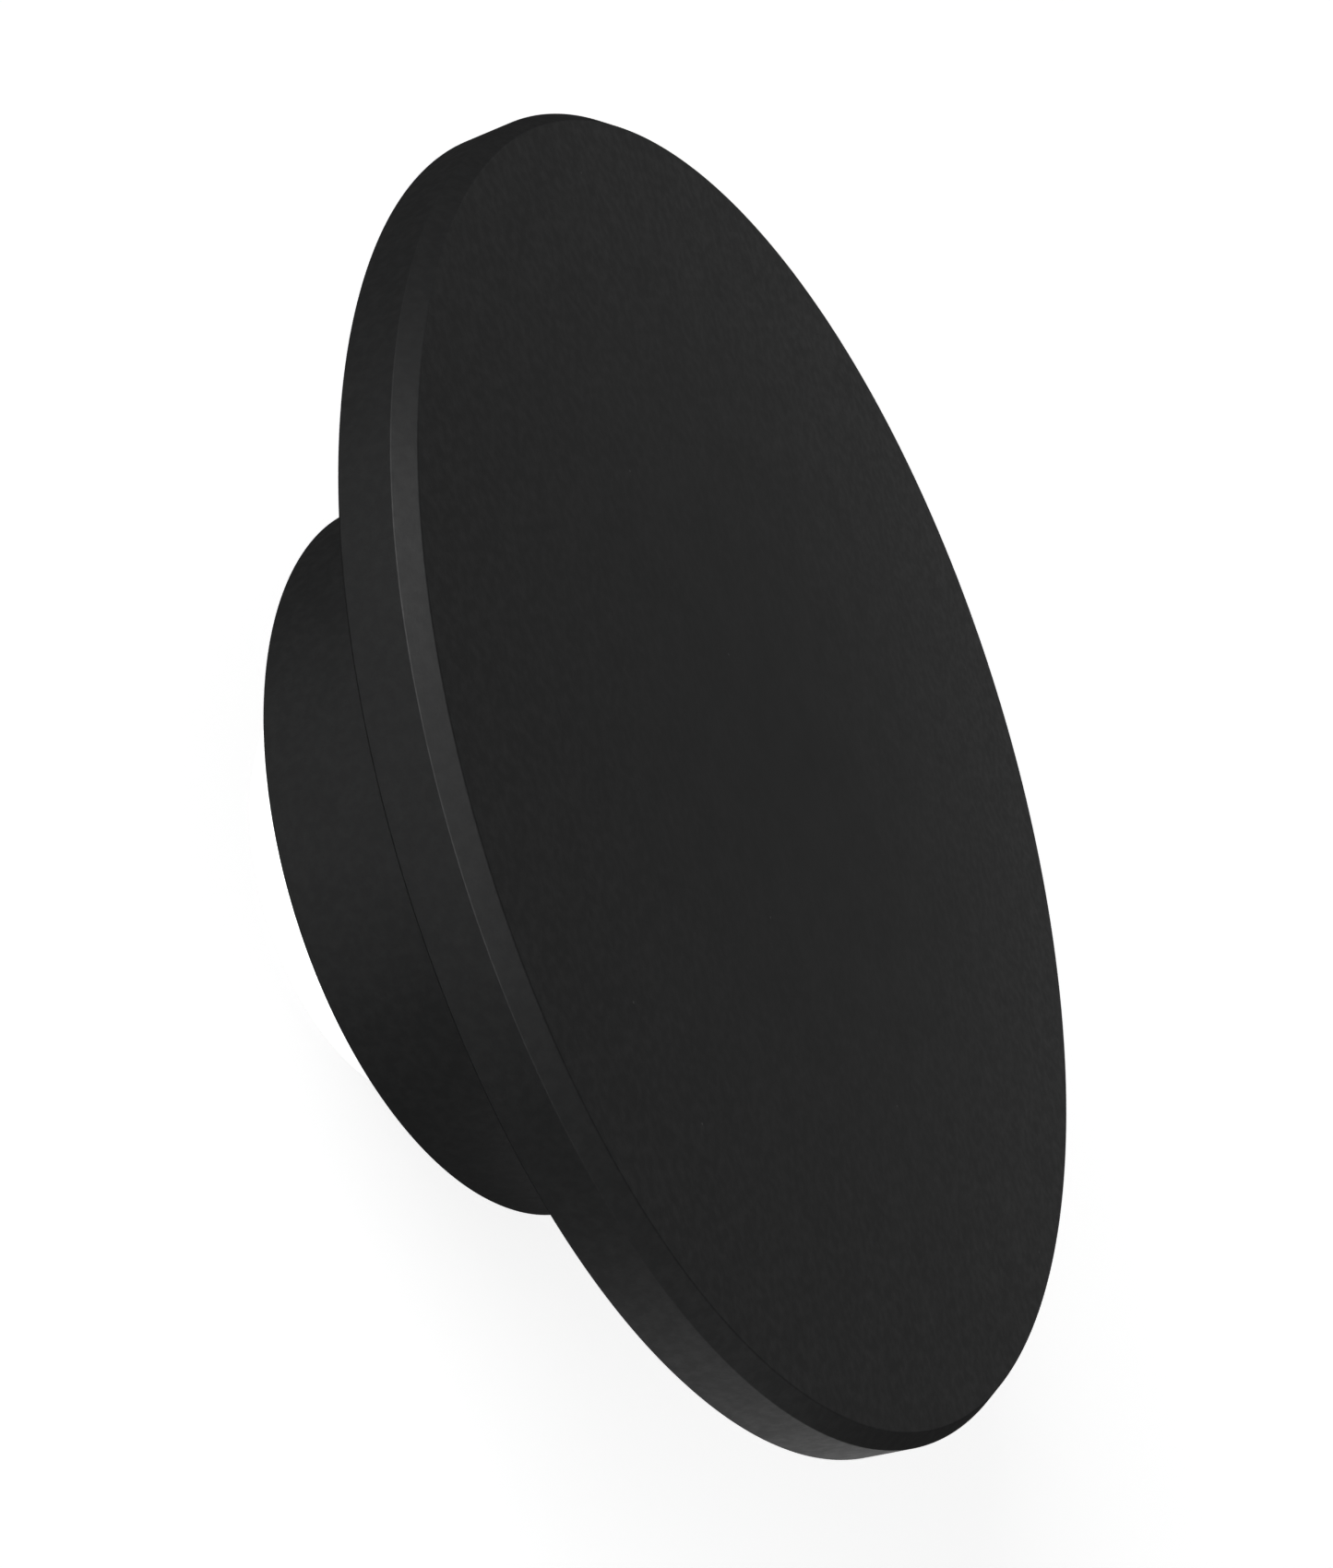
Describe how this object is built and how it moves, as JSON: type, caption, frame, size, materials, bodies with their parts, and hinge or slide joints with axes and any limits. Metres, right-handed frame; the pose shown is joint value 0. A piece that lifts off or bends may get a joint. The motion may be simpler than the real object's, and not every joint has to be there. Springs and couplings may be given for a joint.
{
  "type": "sink plunger",
  "caption": "Low push-push plug for a sink waste: flat chamfered disc on a short round hub that slides on a fixed threaded spindle.",
  "frame": {"origin": "centre of the seat: the lower face of the rubber washer that the plunger stands on", "axes": "+Z along the plunger's axis, from the seat up to the disc; X points at one index pin and one sleeve screw"},
  "size_m": [0.066, 0.066, 0.0206],
  "materials": {
    "black_finish": "matte black fine-textured coating on metal",
    "black_plastic": "black moulded plastic",
    "seal_rubber": "black EPDM, matte",
    "washer_rubber": "black rubber, matte",
    "steel": "stainless steel, plain",
    "spring_steel": "stainless spring steel",
    "brass": "machined brass",
    "white_acetal": "natural acetal",
    "grey_acetal": "dark grey acetal"
  },
  "bodies": {
    "base": {"spindle": "brass", "spindle_nut": "brass", "base_plate": "steel", "guide_cup": "grey_acetal", "base_washer": "washer_rubber", "return_spring": "spring_steel"},
    "plug": {"cap_disc": "black_finish", "hub_sleeve": "black_finish", "seal_ring": "seal_rubber", "clamp_washer": "steel", "sleeve_screws": "steel", "back_ring": "black_plastic", "index_barrel": "brass", "wave_washer": "spring_steel", "thrust_washer": "steel", "barrel_circlip": "spring_steel", "spring_seat_washer": "steel"},
    "index": {"index_ring": "white_acetal", "index_pins": "steel"}
  },
  "joints": [
    {"name": "plug_slide", "type": "slide", "parent": "base", "child": "plug", "axis": [0, 0, 1], "range_m": [-0.006, 0], "stiffness_N_per_m": 1000, "springref_m": 0.007, "deforming": ["return_spring"]},
    {"name": "index_turn", "type": "hinge", "parent": "plug", "child": "index", "pos_m": [0, 0, 0.0115], "axis": [0, 0, 1], "range_deg": [0, 45.5]}
  ],
  "couplings": [
    {"joint": "index_turn", "follows": "plug_slide", "rad_per_m": -130.9}
  ]
}
